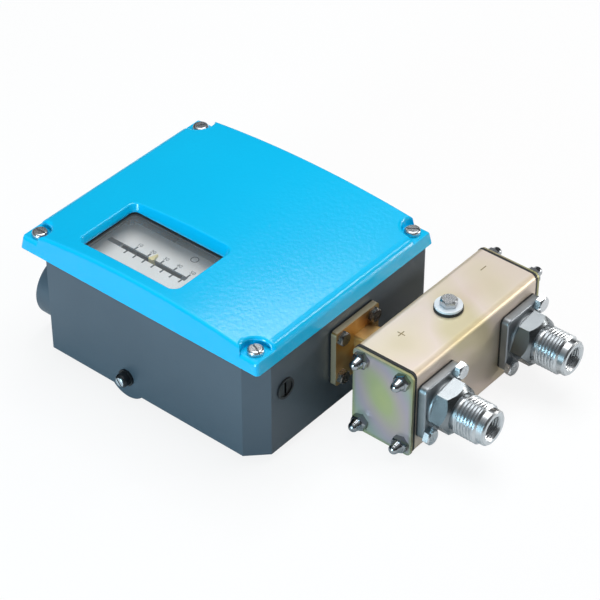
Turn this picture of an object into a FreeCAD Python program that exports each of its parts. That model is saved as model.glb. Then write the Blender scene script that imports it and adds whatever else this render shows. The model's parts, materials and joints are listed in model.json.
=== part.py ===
import FreeCAD, Part
import math
import os
from FreeCAD import Vector

# Differential pressure switch. Millimetres; the feet stand on z = 0 and +Z points out of the cover.
# +Y points to the cable entry, and the sensor casing with its two ports stands at -Y.
# The origin is the centre of the four wall fixing holes, on the back plane.

# Clearances
slip = 0.05            # radial, a shaft or screw in its hole
gap = 0.3              # between faces that move past each other
same = 0.01            # closer than this counts as one place
fit = 0.3              # between a piece and the edge that locates it

# Screw proportions
hex_chamfer = 0.13     # of the width across flats
head_round = 0.5       # of the head's height
slot_half = 0.1        # of the head's radius
slot_floor = 0.55      # of the head's height
small_head_r = 1.8     # of the shank's radius
small_head_h = 0.9     # of the shank's radius

# Housing casting
body_w = 129.0         # X, outside of the walls
body_l = 150.0         # Y, outside of the walls
wall = 4.0
floor_t = 4.0
rim_z = 62.0           # shoulder under the cover
bevel_near = 9.8       # corner towards -X, -Y
bevel_far = 13.8       # corner towards -X, +Y
corner_r = 2.0
lip_h = 3.0            # rim inside the cover's skirt
lip_ledge = 3.0        # how far the rim reaches in past the walls
lip_corner_r = 12.0
foot_h = 5.0
foot_r = 8.0
foot_in_x = 14.5       # hole centre in from the side walls
foot_in_y = 17.0       # and from the end walls
foot_hole_r = 2.5      # tapped M6
foot_hole_depth = 8.0

# Cover
overhang = 2.1
skirt_gap = 0.4
skirt_t = 2.4
gasket_t = 0.8
seat_t = 3.2           # under the screw heads
raise_h = 3.0          # crowned top above the screw seats, at its low ends
crown = 5.6            # rise of the arch along Y
side_draft = 2.2       # lean of the sides over the cover's height
end_draft = 1.5        # and of the ends
end_round = 6.0
corner_round = 2.2     # upright corners
top_round = 2.0
cover_corner_r = 2.5   # inside
screw_inset = 7.5      # from the cover's edges
scallop_r = 7.6
scallop_shift = 1.4    # scallop centre outside the screw axis, each way
cover_screw_r = 2.0
cover_head_r = 4.1
cover_head_h = 2.6
cover_slot_turn = 65.0 # degrees, first screw; each next one is turned on by the step
cover_slot_step = 28.0

# Window
window_from_side = 28.4  # centre from the -X side
window_from_end = 60.2   # and from the far wall
window_w = 38.0
window_l = 61.5
window_r = 3.0
window_bevel = 2.3     # widening of the opening on each side, up to the crown
window_rim_round = 0.8
window_land = 1.0      # straight part of the opening, at the pane
window_boss_drop = 0.8 # boss face below the low edge of the crowned top
pane_edge = 2.4
pane_t = 2.0
seal_t = 1.0
seal_back = 0.5        # edge back from the opening
retainer_t = 1.0
retainer_border = 4.2
retainer_screw_r = 1.2
retainer_bite = 2.0    # screw in the boss
retainer_back = 1.0    # edge back from the opening

# Cable entry and earth point
entry_from_side = 27.5   # from the -X side
entry_z = 20.5
entry_r = 17.8
entry_out = 6.5
entry_in = 3.0         # thickening inside the wall
entry_bore_r = 9.25    # tapped M20
earth_y = 10.0
earth_z = 13.5
earth_ear_r = 12.6      # round ear below the wall
earth_screw_r = 2.5
earth_head_r = 3.7
earth_head_h = 4.6
earth_washer_r = 4.6
earth_washer_t = 1.2
earth_slot_turn = 35.0 # degrees

# Scale plate and set-point gear
scale_z = 60.0         # face of the scale plate
scale_t = 1.0
scale_w = 46.0
scale_l = 76.0
scale_post_flats = 4.0
scale_post_inset = 2.2
scale_screw_r = 1.2
scale_screw_l = 5.0
slot_end = 1.5         # free slot past the pointer's travel
slot_from_side = 33.2    # pointer slot and guide rod, from the -X side
slot_w = 3.2
pointer_t = 1.2
pointer_w = 3.2
pointer_reach = 4.6
pointer_tip = 0.6      # width at the point
pointer_from_end = 53.4 # middle of the pointer's travel, from the far wall
travel = 17.0          # pointer travel each way
spindle_from_side = 19.9
spindle_z = 40.3
spindle_r = 3.0
spindle_head_r = 5.0
spindle_head_l = 3.6
spindle_slot_w = 1.2
spindle_slot_d = 1.6
collar_r = 5.0
collar_t = 3.0
guide_r = 2.5
guide_spare = 2.0      # rod past the carriage at the end of its travel
carriage_l = 12.0
carriage_margin = 6.0  # metal round the bores
carriage_round = 1.5
sleeve_l = 36.0        # spring sleeve of the carriage
sleeve_r = 5.0
spring_stop_t = 2.0
bracket_t = 3.0
bracket_foot = 1.0     # foot past the upright plate
bracket_margin = 6.6
plug_r = 5.0
plug_out = 0.8
plug_rim = 0.7
plug_cup_r = 4.5
plug_cup_d = 0.6
plug_slot_w = 1.4
plug_slot_d = 2.2

# Switching beam, spring and snap switch
beam_from_end = 16.3   # centre plane, from the outside of the near wall
beam_t = 6.0
beam_h = 14.0
beam_round = 2.0
beam_cap_t = 3.0
beam_clear = 1.0       # round the spindle, radial
beam_pin_x = -16.0
beam_pin_r = 3.0
beam_hub_r = 6.5
beam_cap_r = 5.5
beam_past_plunger = 5.0
spring_wire_r = 0.8
spring_coils = 8
spring_steps = 14      # facets along one turn
spring_sides = 6       # facets round the wire
spring_r = 6.4         # middle of the wire
spigot_l = 5.0
plunger_from_side = 28.5  # from the +X side
plunger_r = 1.6
switch_w = 28.0
switch_d = 16.0
switch_h = 10.0
switch_gap = 4.2       # beam face to switch body
switch_screw_r = 1.5
switch_screw_inset = 5.0
switch_screw_bite = 7.0
switch_round = 1.0
stem_l = 6.4           # plunger inside the switch
stem_spare = 1.5       # free bore behind the plunger
stem_play = 0.1        # radial
stand_inset = 2.0
tag_w = 3.2
tag_t = 0.8
tag_l = 7.0
tag_inset = 4.0

# Chassis and terminals
chassis_t = 2.0
chassis_margin = 4.5   # from the inner walls
chassis_bevel = 14.0
chassis_screw_r = 1.5
chassis_screw_in_x = 34.5
chassis_screw_in_y = 14.0
chassis_screw_bite = 2.0
terminal_from_side = 34.5 # middle of the terminal block, from the +X side
terminal_from_end = 30.0  # and from the outside of the far wall
terminal_poles = 5
terminal_pitch = 9.0
terminal_d = 24.0
terminal_h = 20.0
terminal_end = 2.0     # plastic past the outer poles
terminal_step = 9.0    # upright part of the long sides
terminal_slope = 8.0
terminal_screw_r = 2.6
terminal_neck_r = 1.8
terminal_neck_l = 2.0
terminal_head_h = 2.4
terminal_well = 6.0
terminal_sink = 4.0    # screw seat below the top
terminal_play = 0.9
terminal_wire_r = 2.6
terminal_wire_z = 6.0  # above the chassis
terminal_slot_step = 20.0

# Neck between the housing and the sensor casing
flange_x = 4.8
flange_z = 37.4
flange_size = 33.0
flange_t = 3.0
flange_round = 2.0
flange_gasket_t = 1.0
flange_screw_inset = 4.6
flange_screw_r = 2.0
flange_head_flats = 7.0
flange_head_h = 2.8
flange_head_turn = 12.0
neck_x = 9.0
neck_w = 14.0
neck_h = 15.0
neck_round = 1.5
neck_l = 9.0           # flange face to casing
neck_bore_r = 4.5
neck_spigot_r = 6.0
neck_ring_r = 8.0
neck_ring_t = 0.8
rod_r = 2.5

# Sensor casing
casing_l = 96.0        # X, between the end gaskets
casing_x = 41.35       # middle
casing_d = 36.0        # Y
casing_h = 50.4        # Z
casing_z = 0.8         # underside
sheet_t = 2.0
sheet_bend_r = 3.5
end_gasket_t = 1.5
end_plate_t = 1.5
end_plate_drop = 0.6   # plate's top edge below the casing's
end_corner_r = 3.0
tie_inset = 5.6
tie_r = 2.5
nut_flats = 8.0
nut_h = 3.6
nut_turn = 15.0
dome_base_r = 3.4
dome_r = 2.7
dome_taper_l = 2.2

# Ports
port_end_inset = 15.0  # port axis from the casing's end
port_z = 26.0
port_flange_w = 28.5
port_flange_h = 32.0
port_flange_t = 4.0
port_flange_r = 3.0
port_flange_round = 0.8 # front edges
port_boss_r = 12.4      # round boss under the fitting
port_boss_h = 1.6
port_gasket_t = 1.0
port_screw_inset = 2.9
port_screw_r = 2.5
port_head_flats = 8.0
port_head_h = 3.5
port_head_turn = 8.0
fitting_flats = 24.0
fitting_hex_l = 9.6
fitting_turn = 6.0     # degrees
relief_r = 9.0
relief_l = 2.5
thread_r = 10.478      # G1/2 outside
thread_l = 11.0
thread_end_l = 1.0     # bevel down to the plain nose
nose_r = 9.3
nose_l = 3.2
nose_bevel_l = 0.9
nose_bevel_r = 8.5
socket_r = 5.72        # G1/4 inside
socket_l = 15.0
socket_mouth_r = 6.6
socket_mouth_l = 0.9
passage_r = 3.0
fitting_spigot_r = 6.0

# Bellows, rocker and pivot
seat_plate_t = 3.0
bellows_r = 10.5
bellows_root_r = 7.5
bellows_skin = 0.7
bellows_folds = 5
bellows_pitch = 3.0
bellows_cap_t = 2.0
stud_r = 2.5
stud_l = 2.2
rocker_t = 6.0
rocker_round = 2.0
rocker_low = 21.0
rocker_high = 42.0
rocker_hub_r = 6.5
rocker_over = 5.0      # arm past each bellows axis
pivot_r = 2.5
pivot_flats = 8.0
pivot_head_h = 3.5
pivot_head_turn = 20.0
pivot_washer_r = 7.0
pivot_washer_t = 1.2
pivot_seal_r = 7.4
pivot_seal_t = 1.5
spacer_r = 5.0

X, Y, Z = Vector(1, 0, 0), Vector(0, 1, 0), Vector(0, 0, 1)

# Levels and faces that several pieces share
floor_z = foot_h + floor_t
half_w, half_l = body_w / 2, body_l / 2
inner_w, inner_l = half_w - wall, half_l - wall
foot_x, foot_y = half_w - foot_in_x, half_l - foot_in_y
chassis_screw_x, chassis_screw_y = half_w - chassis_screw_in_x, half_l - chassis_screw_in_y
window_x, window_y = window_from_side - half_w, half_l - window_from_end
pointer_y = half_l - pointer_from_end
entry_x = entry_from_side - half_w
slot_x = slot_from_side - half_w
spindle_x = spindle_from_side - half_w
plunger_x = half_w - plunger_from_side
beam_end_x = plunger_x + beam_past_plunger
terminal_x, terminal_y = half_w - terminal_from_side, half_l - terminal_from_end
cover_w, cover_l = half_w + overhang, half_l + overhang
skirt_z = rim_z + skirt_gap
lip_z = rim_z + lip_h
seat_low_z = lip_z + gasket_t
seat_z = seat_low_z + seat_t
edge_z = seat_z + raise_h
screw_x, screw_y = cover_w - screw_inset, cover_l - screw_inset
lip_w, lip_l = cover_w - skirt_t - fit, cover_l - skirt_t - fit
boss_z = edge_z - window_boss_drop
pane_z = boss_z - seal_t - pane_t
pane_w, pane_l = window_w + 2 * pane_edge, window_l + 2 * pane_edge
frame_w, frame_l = pane_w + 2 * retainer_border, pane_l + 2 * retainer_border
chassis_z = floor_z + chassis_t
near_wall = -half_l
beam_y = near_wall + beam_from_end
flange_face = near_wall - flange_gasket_t - flange_t
casing_back = flange_face - neck_l
casing_front = casing_back - casing_d
casing_mid_y = (casing_back + casing_front) / 2
casing_top = casing_z + casing_h
casing_left, casing_right = casing_x - casing_l / 2, casing_x + casing_l / 2
port_xs = (casing_left + port_end_inset, casing_right - port_end_inset)
port_flange_back = casing_front - port_gasket_t
port_flange_face = port_flange_back - port_flange_t
port_boss_face = port_flange_face - port_boss_h
seat_plate_face = casing_front + sheet_t + seat_plate_t
bellows_end = seat_plate_face + bellows_folds * bellows_pitch + bellows_cap_t
rocker_front = bellows_end + stud_l + gap
rocker_back = rocker_front + rocker_t
beam_front, beam_back = beam_y - beam_t / 2, beam_y + beam_t / 2
beam_low = spindle_z - beam_h / 2
carriage_front = pointer_y - carriage_l / 2
sleeve_end = carriage_front - sleeve_l
rear_bracket_y = pointer_y + travel + carriage_l / 2 + 2.5 * collar_t
front_bracket_y = beam_front - gap - bracket_foot - bracket_t
switch_front = beam_back + switch_gap

parts = {}


def block(x0, x1, y0, y1, z0, z1):
    return Part.makeBox(x1 - x0, y1 - y0, z1 - z0, Vector(x0, y0, z0))


def drum(base, along, length, radius):
    return Part.makeCylinder(radius, length, Vector(*base), along)


def ring(base, along, length, outer, inner):
    return drum(base, along, length, outer).cut(drum(base, along, length, inner))


def join(first, *others):
    return first.fuse(list(others)).removeSplitter()


def straight_edges(shape, direction):
    found = []
    for edge in shape.Edges:
        if not isinstance(edge.Curve, Part.Line):
            continue
        if abs(edge.tangentAt(edge.FirstParameter).dot(direction)) > 0.999:
            found.append(edge)
    return found


def slab(centre, width, length, z0, z1, radius):
    """Plate with rounded upright edges."""
    x, y = centre
    plate = block(x - width / 2, x + width / 2, y - length / 2, y + length / 2, z0, z1)
    return plate.makeFillet(radius, straight_edges(plate, Z))


def upright_plate(centre, width, height, y0, y1, radius):
    """Plate that stands across Y, with its four corners rounded."""
    x, z = centre
    plate = block(x - width / 2, x + width / 2, y0, y1, z - height / 2, z + height / 2)
    return plate.makeFillet(radius, straight_edges(plate, Y))


def prism(points, along):
    corners = [Vector(*point) for point in points]
    return Part.Face(Part.makePolygon(corners + corners[:1])).extrude(along)


def hex_bar(base, along, length, flats, turn=0.0):
    side = X if abs(along.dot(X)) < 0.5 else Y
    other = along.cross(side)
    radius = flats / math.sqrt(3)
    angles = [math.radians(turn + 60 * i) for i in range(6)]
    corners = [Vector(*base) + side * (radius * math.cos(a)) + other * (radius * math.sin(a)) for a in angles]
    bar = Part.Face(Part.makePolygon(corners + corners[:1])).extrude(along * length)
    crown_h = hex_chamfer * flats
    round_bar = Part.makeCone(radius + (length - crown_h), radius - crown_h, length, Vector(*base), along)
    return bar.common(round_bar)


def pan_screw(base, along, radius, length, head_r, head_h, slot_turn=0.0):
    """Slotted screw; base is the middle of the head's underside and along points out of the head."""
    head = drum(base, along, head_h, head_r)
    rim = [edge for edge in head.Edges if isinstance(edge.Curve, Part.Circle)]
    top = max(rim, key=lambda edge: edge.CenterOfMass.dot(along))
    head = head.makeFillet(head_round * head_h, [top])
    half = slot_half * head_r
    slot = block(-head_r, head_r, -half, half, slot_floor * head_h, head_h)
    slot.rotate(Vector(0, 0, 0), Z, slot_turn)
    slot.Placement = FreeCAD.Placement(Vector(*base), FreeCAD.Rotation(Z, along)).multiply(slot.Placement)
    return join(head.cut(slot), drum(base, along * -1, length, radius))


def hex_screw(base, along, radius, length, flats, head_h, turn=0.0):
    return join(hex_bar(base, along, head_h, flats, turn), drum(base, along * -1, length, radius))


def grid(xs, ys):
    return [(x, y) for x in xs for y in ys]


def housing_outline(inset, z0, z1):
    """Body outline, moved in by inset, with the two bevelled corners on the -X side."""
    w, l = half_w - inset, half_l - inset
    trim = inset * (2 - math.sqrt(2))
    near, far = bevel_near - trim, bevel_far - trim
    corners = [(near - w, -l), (w, -l), (w, l), (far - w, l), (-w, l - far), (-w, near - l)]
    return prism([(x, y, z0) for x, y in corners], Z * (z1 - z0))


def arched_block(w, l, low_z, side_z, lean=0.0):
    """Block whose top is an arch along Y that rises by the crown; its ends lean in by that much."""
    left = -w
    foot_l = l + lean
    low = Part.makePolygon([Vector(left, -l, side_z), Vector(left, -foot_l, low_z), Vector(left, foot_l, low_z),
                            Vector(left, l, side_z)])
    crest = Vector(left, 0, side_z + crown)
    arch = Part.Arc(Vector(left, l, side_z), crest, Vector(left, -l, side_z)).toShape()
    return Part.Face(Part.Wire(low.Edges + [arch])).extrude(X * (2 * w))


def window_prism(grow, z0, z1):
    return slab((window_x, window_y), window_w + 2 * grow, window_l + 2 * grow, z0, z1, window_r + grow)


def cover_corners():
    return grid((-1, 1), (-1, 1))


def flange_screw_points():
    reach = flange_size / 2 - flange_screw_inset
    return grid((flange_x - reach, flange_x + reach), (flange_z - reach, flange_z + reach))


def tie_points():
    ys = (casing_front + tie_inset, casing_back - tie_inset)
    return grid(ys, (casing_z + tie_inset, casing_top - tie_inset))


def port_screw_points(x):
    dx, dz = port_flange_w / 2 - port_screw_inset, port_flange_h / 2 - port_screw_inset
    return [(x + dx, port_z + dz), (x - dx, port_z - dz)]


def chassis_screw_points():
    return grid((-chassis_screw_x, chassis_screw_x), (-chassis_screw_y, chassis_screw_y))


def scale_post_points():
    dx, dy = scale_w / 2 - scale_post_inset, scale_l / 2 - scale_post_inset
    return grid((window_x - dx, window_x + dx), (window_y - dy, window_y + dy))


def retainer_screw_points():
    dx, dy = frame_w / 2 - retainer_border / 2, frame_l / 2 - retainer_border / 2
    return grid((window_x - dx, window_x + dx), (window_y - dy, window_y + dy))


def make_housing():
    body = housing_outline(0, foot_h, rim_z)
    sharp = [edge for edge in straight_edges(body, Z) if edge.CenterOfMass.x > 0]
    body = body.makeFillet(corner_r, sharp)
    body = body.cut(housing_outline(wall, floor_z, rim_z))
    lip = slab((0, 0), 2 * lip_w, 2 * lip_l, rim_z, lip_z, cover_corner_r)
    lip_hole = (inner_w - lip_ledge, inner_l - lip_ledge)
    lip = lip.cut(slab((0, 0), 2 * lip_hole[0], 2 * lip_hole[1], rim_z, lip_z, lip_corner_r))
    added = [lip]
    for sx, sy in cover_corners():
        added.append(drum((sx * foot_x, sy * foot_y, 0), Z, foot_h, foot_r))
    added.append(drum((entry_x, inner_l - entry_in, entry_z), Y, wall + entry_in + entry_out, entry_r))
    added.append(drum((-half_w, earth_y, earth_z), X, wall, earth_ear_r))
    body = join(body, *added)
    holes = [drum((entry_x, inner_l - entry_in, entry_z), Y, wall + entry_in + entry_out, entry_bore_r)]
    for sx, sy in cover_corners():
        holes.append(drum((sx * screw_x, sy * screw_y, rim_z), Z, lip_h, cover_screw_r + slip))
        holes.append(drum((sx * foot_x, sy * foot_y, 0), Z, foot_hole_depth, foot_hole_r))
    holes.append(drum((-half_w, earth_y, earth_z), X, wall, earth_screw_r + slip))
    holes.append(drum((spindle_x, near_wall, spindle_z), Y, wall, plug_r + slip))
    holes.append(drum((neck_x, near_wall, flange_z), Y, wall, neck_bore_r))
    for x, z in flange_screw_points():
        holes.append(drum((x, near_wall, z), Y, wall, flange_screw_r + slip))
    for x, y in chassis_screw_points():
        depth = chassis_screw_bite + gap
        holes.append(drum((x, y, floor_z - depth), Z, depth, chassis_screw_r + slip))
    parts["housing"] = body.cut(holes)


def cover_body():
    """The cover's outside before its corners are scalloped."""
    top_z = edge_z + crown
    top_w = cover_w - side_draft
    body = arched_block(cover_w, cover_l - end_draft, skirt_z, edge_z, end_draft)
    ends = [edge for edge in straight_edges(body, X) if edge.BoundBox.ZMin > skirt_z + gap]
    body = body.makeFillet(end_round, ends)
    corners = [(-cover_w, skirt_z), (cover_w, skirt_z), (top_w, top_z), (-top_w, top_z)]
    return body.common(prism([(x, -cover_l, z) for x, z in corners], Y * (2 * cover_l)))


def make_cover():
    top_z = edge_z + crown
    outer = cover_body()
    scallops = []
    posts = []
    for sx, sy in cover_corners():
        centre = (sx * (screw_x + scallop_shift), sy * (screw_y + scallop_shift))
        scallops.append(drum((centre[0], centre[1], seat_z), Z, raise_h + crown, scallop_r))
        posts.append(drum((centre[0], centre[1], seat_low_z), Z, raise_h + crown, scallop_r + skirt_t))
        xs, ys = sorted((centre[0], sx * cover_w)), sorted((centre[1], sy * cover_l))
        scallops.append(block(xs[0], xs[1], ys[0], ys[1], seat_z, top_z))
    outer = outer.cut(scallops)
    outer = outer.makeFillet(top_round, [edge for edge in outer.Edges if on_crest(edge)])
    outer = outer.makeFillet(corner_round, [edge for edge in outer.Edges if on_corner(edge)])
    hollow_w, hollow_l = 2 * (cover_w - skirt_t), 2 * (cover_l - skirt_t)
    hollow = slab((0, 0), hollow_w, hollow_l, skirt_z, seat_low_z, cover_corner_r)
    dome_w, dome_l = cover_w - side_draft - skirt_t, cover_l - end_draft - 2 * skirt_t
    dome = arched_block(dome_w, dome_l, seat_low_z, edge_z - skirt_t).cut(posts)
    frame = block(window_x - frame_w / 2, window_x + frame_w / 2, window_y - frame_l / 2,
                  window_y + frame_l / 2, boss_z, top_z)
    shell = outer.cut([hollow, dome])
    shell = join(shell, frame.common(outer))
    high = window_prism(window_bevel, top_z, top_z + window_land)
    low = window_prism(0, boss_z + window_land, top_z)
    flare = Part.makeLoft([bottom_wire(low), bottom_wire(high)], True)
    holes = [window_prism(0, boss_z, boss_z + window_land), flare]
    for sx, sy in cover_corners():
        holes.append(drum((sx * screw_x, sy * screw_y, skirt_z), Z, seat_z - skirt_z, cover_screw_r + slip))
    for x, y in retainer_screw_points():
        holes.append(drum((x, y, boss_z), Z, retainer_bite + gap, retainer_screw_r + slip))
    shell = shell.cut(holes)
    rim = [edge for edge in shell.Edges if on_window_rim(edge)]
    parts["cover"] = shell.makeFillet(window_rim_round, rim)


def on_crest(edge):
    """Edges round the crowned top: the long sides and the rims of the scallops."""
    box = edge.BoundBox
    return box.ZMin > seat_z + gap and box.XLength < cover_w


def on_corner(edge):
    """Upright edges at the cover's corners, below the screw seats."""
    box = edge.BoundBox
    side_w = cover_w - side_draft - gap
    at_side = box.XMin > side_w or box.XMax < -side_w
    at_end = box.YMin > screw_y or box.YMax < -screw_y
    return at_side and at_end and box.ZMax > skirt_z + gap


def on_window_rim(edge):
    """Edges between the window's opening and the crowned top."""
    box = edge.BoundBox
    reach_x, reach_y = window_w / 2 + 2 * window_bevel, window_l / 2 + 2 * window_bevel
    inside_x = abs(box.XMin - window_x) < reach_x and abs(box.XMax - window_x) < reach_x
    inside_y = abs(box.YMin - window_y) < reach_y and abs(box.YMax - window_y) < reach_y
    return inside_x and inside_y and box.ZMin > edge_z


def bottom_wire(shape):
    return min(shape.Faces, key=lambda face: face.CenterOfMass.z).OuterWire


def make_cover_fittings():
    outer = slab((0, 0), 2 * lip_w, 2 * lip_l, lip_z, seat_low_z, cover_corner_r)
    hole = (inner_w - lip_ledge, inner_l - lip_ledge)
    gasket = outer.cut(slab((0, 0), 2 * hole[0], 2 * hole[1], lip_z, seat_low_z, lip_corner_r))
    screws = []
    for number, (sx, sy) in enumerate(cover_corners()):
        at = (sx * screw_x, sy * screw_y)
        gasket = gasket.cut(drum((at[0], at[1], lip_z), Z, gasket_t, cover_screw_r + slip))
        length = seat_z - rim_z - gap
        screws.append(pan_screw((at[0], at[1], seat_z), Z, cover_screw_r, length, cover_head_r, cover_head_h,
                                cover_slot_turn + cover_slot_step * number))
    parts["cover_gasket"] = gasket
    parts["cover_screws"] = Part.makeCompound(screws)


def make_window():
    middle = (window_x, window_y)
    pane = slab(middle, pane_w, pane_l, pane_z, pane_z + pane_t, window_r)
    seal = slab(middle, pane_w, pane_l, pane_z + pane_t, boss_z, window_r)
    retainer_z = pane_z - retainer_t
    retainer = slab(middle, frame_w, frame_l, retainer_z, boss_z, window_r)
    retainer = retainer.cut(slab(middle, pane_w + 2 * fit, pane_l + 2 * fit, pane_z, boss_z, window_r + fit))
    retainer = retainer.cut(window_prism(retainer_back, retainer_z, pane_z))
    screws = []
    for x, y in retainer_screw_points():
        retainer = retainer.cut(drum((x, y, retainer_z), Z, boss_z - retainer_z, retainer_screw_r + slip))
        length = boss_z - retainer_z + retainer_bite
        screws.append(pan_screw((x, y, retainer_z), Z * -1, retainer_screw_r, length,
                                small_head_r * retainer_screw_r, small_head_h * retainer_screw_r))
    parts["window_pane"] = pane
    parts["window_seal"] = seal.cut(window_prism(seal_back, pane_z + pane_t, boss_z))
    parts["window_retainer"] = retainer
    parts["retainer_screws"] = Part.makeCompound(screws)


def make_scale():
    middle = (window_x, window_y)
    plate = slab(middle, scale_w, scale_l, scale_z - scale_t, scale_z, window_r)
    reach = travel + pointer_w / 2 + slot_end
    plate = plate.cut(block(slot_x - slot_w / 2, slot_x + slot_w / 2, pointer_y - reach, pointer_y + reach,
                            scale_z - scale_t, scale_z))
    posts = []
    screws = []
    for x, y in scale_post_points():
        post_h = scale_z - scale_t - chassis_z
        hole_l = scale_screw_l + gap
        post = hex_bar((x, y, chassis_z), Z, post_h, scale_post_flats)
        posts.append(post.cut(drum((x, y, chassis_z + post_h - hole_l), Z, hole_l, scale_screw_r + slip)))
        plate = plate.cut(drum((x, y, scale_z - scale_t), Z, scale_t, scale_screw_r + slip))
        screws.append(pan_screw((x, y, scale_z), Z, scale_screw_r, scale_screw_l - scale_t,
                                small_head_r * scale_screw_r, small_head_h * scale_screw_r))
    parts["scale_plate"] = plate
    parts["scale_posts"] = Part.makeCompound(posts)
    parts["scale_screws"] = Part.makeCompound(screws)


def make_chassis():
    w, l, b = inner_w - chassis_margin, inner_l - chassis_margin, chassis_bevel
    near, far = [(b - w, -l), (w - b, -l), (w, b - l)], [(w, l - b), (w - b, l), (b - w, l)]
    corners = near + far + [(-w, l - b), (-w, b - l)]
    plate = prism([(x, y, floor_z) for x, y in corners], Z * chassis_t)
    screws = []
    for x, y in chassis_screw_points():
        plate = plate.cut(drum((x, y, floor_z), Z, chassis_t, chassis_screw_r + slip))
        screws.append(pan_screw((x, y, chassis_z), Z, chassis_screw_r, chassis_t + chassis_screw_bite,
                                small_head_r * chassis_screw_r, small_head_h * chassis_screw_r))
    parts["chassis_plate"] = plate.cut(drum((beam_pin_x, beam_y, floor_z), Z, chassis_t, beam_pin_r + slip))
    parts["chassis_screws"] = Part.makeCompound(screws)


def bracket(y, x_right, bores):
    """Angle bracket on the chassis: an upright plate across Y with a foot towards +Y."""
    x_left = spindle_x - bracket_margin
    plate = block(x_left, x_right, y, y + bracket_t, chassis_z, spindle_z + bracket_margin)
    back = y + bracket_t
    foot = block(x_left, x_right, back, back + bracket_foot, chassis_z, chassis_z + bracket_t)
    plate = join(plate, foot)
    for x, radius in bores:
        plate = plate.cut(drum((x, y, spindle_z), Y, bracket_t, radius))
    return plate


def make_setpoint_gear():
    spindle_bore, rod_bore = (spindle_x, spindle_r + slip), (slot_x, guide_r + slip)
    parts["front_bracket"] = bracket(front_bracket_y, spindle_x + bracket_margin, [spindle_bore])
    parts["rear_bracket"] = bracket(rear_bracket_y, slot_x + bracket_margin, [spindle_bore, rod_bore])
    head_y = front_bracket_y - gap
    end_y = rear_bracket_y + bracket_t + gap + collar_t
    start_y = head_y - spindle_head_l
    spindle = drum((spindle_x, start_y, spindle_z), Y, end_y - start_y, spindle_r)
    head = drum((spindle_x, start_y, spindle_z), Y, spindle_head_l, spindle_head_r)
    slot = block(spindle_x - spindle_head_r, spindle_x + spindle_head_r, start_y, start_y + spindle_slot_d,
                 spindle_z - spindle_slot_w / 2, spindle_z + spindle_slot_w / 2)
    collars = [drum((spindle_x, y, spindle_z), Y, collar_t, collar_r)
               for y in (rear_bracket_y - gap - collar_t, rear_bracket_y + bracket_t + gap)]
    parts["setpoint_spindle"] = join(spindle, head, *collars).cut(slot)
    guide_start = carriage_front - travel - guide_spare
    guide_l = rear_bracket_y + bracket_t - guide_start
    parts["guide_rod"] = drum((slot_x, guide_start, spindle_z), Y, guide_l, guide_r)
    body = block(spindle_x - carriage_margin, slot_x + carriage_margin, carriage_front,
                 carriage_front + carriage_l, spindle_z - carriage_margin, spindle_z + carriage_margin)
    body = body.makeFillet(carriage_round, straight_edges(body, Y))
    sleeve = drum((spindle_x, sleeve_end, spindle_z), Y, sleeve_l, sleeve_r)
    stop_r = spring_r + spring_wire_r + gap
    spring_stop = drum((spindle_x, sleeve_end + spigot_l, spindle_z), Y, spring_stop_t, stop_r)
    body = join(body, sleeve, spring_stop)
    bore = drum((spindle_x, sleeve_end, spindle_z), Y, sleeve_l + carriage_l, spindle_r + 2 * slip)
    guide_bore = drum((slot_x, carriage_front, spindle_z), Y, carriage_l, guide_r + 2 * slip)
    parts["pointer_carriage"] = body.cut([bore, guide_bore])
    blade_z = spindle_z + carriage_margin
    blade = block(slot_x - pointer_t / 2, slot_x + pointer_t / 2, pointer_y - pointer_w / 2,
                  pointer_y + pointer_w / 2, blade_z, scale_z + gap + pointer_t)
    foot = block(slot_x - pointer_w / 2, slot_x + pointer_w / 2, pointer_y - pointer_w / 2,
                 pointer_y + pointer_w / 2, blade_z, blade_z + pointer_t)
    tip = prism([(slot_x - pointer_t / 2, pointer_y - pointer_w / 2, scale_z + gap),
                 (slot_x + pointer_reach, pointer_y - pointer_tip / 2, scale_z + gap),
                 (slot_x + pointer_reach, pointer_y + pointer_tip / 2, scale_z + gap),
                 (slot_x - pointer_t / 2, pointer_y + pointer_w / 2, scale_z + gap)], Z * pointer_t)
    parts["pointer"] = join(blade, foot, tip)
    plug = join(drum((spindle_x, near_wall - plug_out, spindle_z), Y, wall + plug_out, plug_r),
                drum((spindle_x, near_wall - plug_out, spindle_z), Y, plug_out, plug_r + plug_rim))
    face = near_wall - plug_out
    cup = drum((spindle_x, face, spindle_z), Y, plug_cup_d, plug_cup_r)
    key = block(spindle_x - plug_slot_w / 2, spindle_x + plug_slot_w / 2, face, face + plug_slot_d,
                spindle_z - plug_cup_r, spindle_z + plug_cup_r)
    parts["access_plug"] = plug.cut([cup, key])


def make_beam():
    left = spindle_x - bracket_margin
    beam = block(left, beam_end_x, beam_front, beam_back, beam_low, beam_low + beam_h)
    beam = beam.makeFillet(beam_round, straight_edges(beam, Y))
    hub = drum((beam_pin_x, beam_y, beam_low), Z, beam_h, beam_hub_r)
    spigot = drum((spindle_x, beam_back, spindle_z), Y, spigot_l, sleeve_r)
    beam = join(beam, hub, spigot)
    clear = drum((spindle_x, beam_front, spindle_z), Y, beam_t + spigot_l, spindle_r + beam_clear)
    pin_bore = drum((beam_pin_x, beam_y, beam_low), Z, beam_h, beam_pin_r + slip)
    parts["switching_beam"] = beam.cut([clear, pin_bore])
    pin_top = beam_low + beam_h + gap + beam_cap_t
    pin = drum((beam_pin_x, beam_y, floor_z), Z, pin_top - floor_z, beam_pin_r)
    shoulder = drum((beam_pin_x, beam_y, chassis_z), Z, beam_low - gap - chassis_z, beam_hub_r)
    cap = drum((beam_pin_x, beam_y, pin_top - beam_cap_t), Z, beam_cap_t, beam_cap_r)
    parts["beam_pin"] = join(pin, shoulder, cap)
    parts["range_spring"] = make_spring(beam_back + gap, sleeve_end + spigot_l - gap)


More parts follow.
